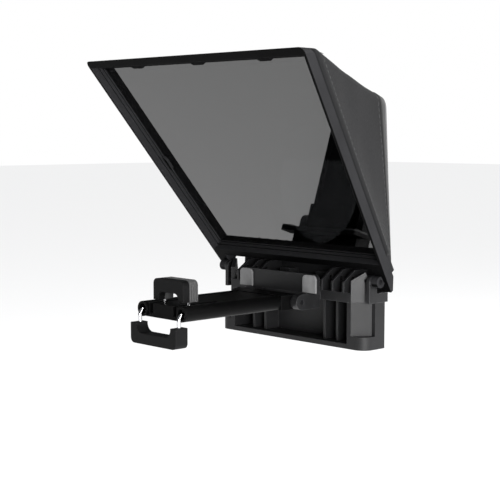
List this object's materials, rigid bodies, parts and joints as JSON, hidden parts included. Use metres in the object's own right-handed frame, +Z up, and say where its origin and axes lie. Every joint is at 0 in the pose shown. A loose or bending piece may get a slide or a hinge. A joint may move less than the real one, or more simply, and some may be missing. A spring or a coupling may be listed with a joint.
{
  "type": "teleprompter",
  "caption": "Folding teleprompter: tilted beam-splitter glass in a tapered frame, cloth hood, lens-ring plate, and a fold-up tray with sprung phone and pull-out tablet clamps.",
  "frame": {"origin": "on the lens axis, in the lens ring's face that rests against the lens rim", "axes": "+Y towards the camera along the lens axis, +Z up, +X to the right as seen by a viewer facing the glass; the glass and tray face -Y"},
  "size_m": [0.179, 0.1325, 0.1636],
  "materials": {
    "shell_black": "fine spark-eroded matt black ABS",
    "deck_black": "matt black moulded nylon",
    "plate_black": "satin black powder coat",
    "ring_black": "black anodised, machined",
    "frame_black": "satin black moulding",
    "coated_glass": "partly silvered front face",
    "hood_cloth": "matt black laminated cloth",
    "grip_rubber": "matt grey rubber",
    "tube_black": "black anodised tube",
    "bright_wire": "polished chrome plate",
    "screw_steel": "black zinc",
    "pin_steel": "ground steel",
    "bush_plastic": "black acetal",
    "hook_black": "fine matt black moulding"
  },
  "bodies": {
    "base": {"base_lower_housing": "shell_black", "base_ramp_deck": "deck_black", "rear_plate": "plate_black", "lens_ring_retainer": "plate_black", "retainer_screws": "screw_steel", "plate_screws": "screw_steel", "housing_screws": "screw_steel", "rear_jaw": "deck_black", "rear_jaw_pad_left": "grip_rubber", "rear_jaw_pad_right": "grip_rubber", "tray_hinge_pin": "pin_steel", "frame_hinge_pin_left": "pin_steel", "frame_hinge_pin_right": "pin_steel", "frame_hinge_washer_left": "bush_plastic", "frame_hinge_washer_right": "bush_plastic", "hood_fabric": "hood_cloth"},
    "glass_frame": {"frame_surround": "frame_black", "beam_splitter_glass": "coated_glass", "frame_back_ring": "frame_black", "glass_clips": "frame_black", "glass_catch_left": "frame_black", "glass_catch_right": "frame_black"},
    "tray": {"tray_tongue": "deck_black", "tongue_cover": "deck_black", "tray_tube_left": "tube_black", "tray_tube_right": "tube_black", "tube_bush_left": "bush_plastic", "tube_bush_right": "bush_plastic", "clamp_spring": "pin_steel"},
    "phone_clamp": {"phone_hook": "hook_black", "phone_hook_pad": "grip_rubber", "phone_clamp_wire": "bright_wire"},
    "tablet_clamp": {"tablet_jaw": "hook_black", "tablet_jaw_pad": "grip_rubber", "tablet_rod_left": "bright_wire", "tablet_rod_right": "bright_wire", "rod_stop_left": "bush_plastic", "rod_stop_right": "bush_plastic"},
    "lens_ring_body": {"lens_ring": "ring_black"}
  },
  "joints": [
    {"name": "frame_fold", "type": "hinge", "parent": "base", "child": "glass_frame", "pos_m": [0, -0.0185, -0.053], "axis": [-1, 0, 0], "range_deg": [0, 35.8], "deforming": ["hood_fabric"]},
    {"name": "tray_fold", "type": "hinge", "parent": "base", "child": "tray", "pos_m": [0, -0.041, -0.066], "axis": [-1, 0, 0], "range_deg": [0, 90]},
    {"name": "phone_clamp_slide", "type": "slide", "parent": "tray", "child": "phone_clamp", "axis": [0, -1, 0], "range_m": [-0.015, 0.018], "stiffness_N_per_m": 60, "deforming": ["clamp_spring"]},
    {"name": "tablet_clamp_slide", "type": "slide", "parent": "tray", "child": "tablet_clamp", "axis": [0, -1, 0], "range_m": [0, 0.055]},
    {"name": "lens_ring_turn", "type": "hinge", "parent": "base", "child": "lens_ring_body", "pos_m": [0, 0, 0], "axis": [0, 1, 0], "continuous": true}
  ],
  "couplings": [
    {"joint": "tray_fold", "follows": "frame_fold", "ratio": 2.513}
  ]
}
